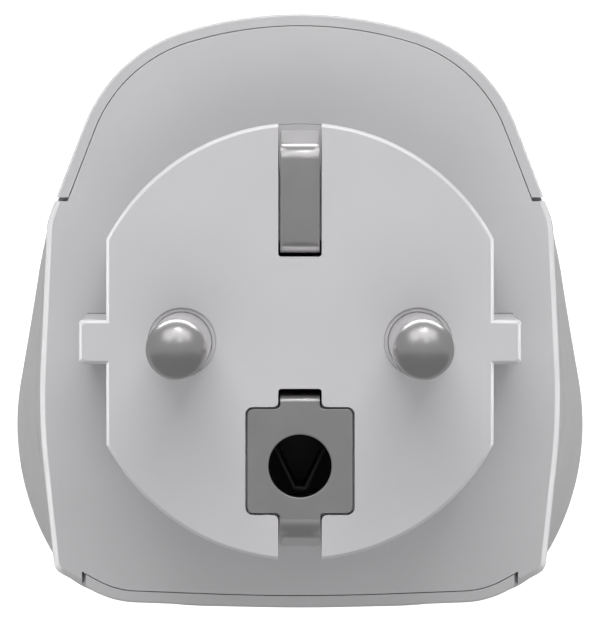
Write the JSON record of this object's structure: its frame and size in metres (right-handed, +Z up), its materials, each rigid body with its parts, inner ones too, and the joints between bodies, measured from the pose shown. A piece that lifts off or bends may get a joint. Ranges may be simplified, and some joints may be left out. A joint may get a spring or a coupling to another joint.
{
  "type": "plug-in power meter",
  "caption": "Compact earthed plug-through socket that meters power: round two-pin plug behind, egg-shaped grey housing, socket outlet, push button and status light in front.",
  "frame": {"origin": "midway between the two plug pins, on the plug's front face", "axes": "+Z up, plug pins point along -Y, the outlet opens along +Y, +X to the right when the plug side is looked at"},
  "size_m": [0.0502, 0.0775, 0.0518],
  "materials": {
    "shell_plastic": "light grey moulded ABS, satin",
    "plug_plastic": "light grey moulded plastic, satin",
    "outlet_plastic": "light grey moulded plastic, satin",
    "button_plastic": "grey moulded plastic, slightly glossy",
    "clear_plastic": "clear moulded plastic",
    "shutter_plastic": "natural moulded plastic",
    "nickel_plate": "nickel-plated brass, satin",
    "spring_steel": "bright spring steel",
    "brass_sheet": "plain pressed brass",
    "circuit_board": "green solder mask on glass fibre",
    "relay_case": "dark blue moulded case",
    "film_case": "ochre moulded case",
    "dark_part": "black moulded plastic or sleeve",
    "ceramic_coat": "blue epoxy coating",
    "shield_can": "tinned sheet steel",
    "cable_jacket": "pale flexible insulation"
  },
  "bodies": {
    "housing": {"rear_cover": "shell_plastic", "front_housing": "shell_plastic", "plug_body": "plug_plastic", "pin_left": "nickel_plate", "pin_right": "nickel_plate", "strap_left": "brass_sheet", "strap_right": "brass_sheet", "earth_clip_top": "nickel_plate", "earth_clip_bottom": "nickel_plate", "earth_pin_socket": "nickel_plate", "earth_link": "brass_sheet", "main_board": "circuit_board", "relay": "relay_case", "film_capacitor": "film_case", "electrolytic_capacitor": "dark_part", "varistor": "ceramic_coat", "inductor": "dark_part", "fuse_resistor": "ceramic_coat", "current_shunt": "brass_sheet", "metering_chip": "dark_part", "socket_contact_left": "brass_sheet", "socket_contact_right": "brass_sheet", "outlet_cup": "outlet_plastic", "shutter_retainer": "spring_steel", "shutter_spring": "spring_steel", "cup_screw_left": "spring_steel", "cup_screw_right": "spring_steel", "control_board": "circuit_board", "radio_module": "shield_can", "board_ribbon": "cable_jacket", "button_switch": "dark_part", "status_led": "clear_plastic", "light_guide": "clear_plastic"},
    "push_button": {"push_button": "button_plastic", "switch_plunger": "shutter_plastic"},
    "shutter": {"shutter": "shutter_plastic"},
    "outlet_earth_clip_top": {"outlet_earth_clip_top": "spring_steel"},
    "outlet_earth_clip_bottom": {"outlet_earth_clip_bottom": "spring_steel"}
  },
  "joints": [
    {"name": "button_press", "type": "slide", "parent": "housing", "child": "push_button", "axis": [0, -1, 0], "range_m": [0, 0.0005], "stiffness_N_per_m": 3000},
    {"name": "shutter_turn", "type": "hinge", "parent": "housing", "child": "shutter", "pos_m": [0, 0.037, -0.002], "axis": [0, 1, 0], "range_deg": [0, 42], "stiffness_Nm_per_rad": 0.01, "deforming": ["shutter_spring"]},
    {"name": "top_clip_flex", "type": "hinge", "parent": "housing", "child": "outlet_earth_clip_top", "pos_m": [0, 0.0387, 0.0166], "axis": [1, 0, 0], "range_deg": [0, 2.5], "stiffness_Nm_per_rad": 3},
    {"name": "bottom_clip_flex", "type": "hinge", "parent": "housing", "child": "outlet_earth_clip_bottom", "pos_m": [0, 0.0387, -0.0206], "axis": [-1, 0, 0], "range_deg": [0, 2.5], "stiffness_Nm_per_rad": 3}
  ]
}
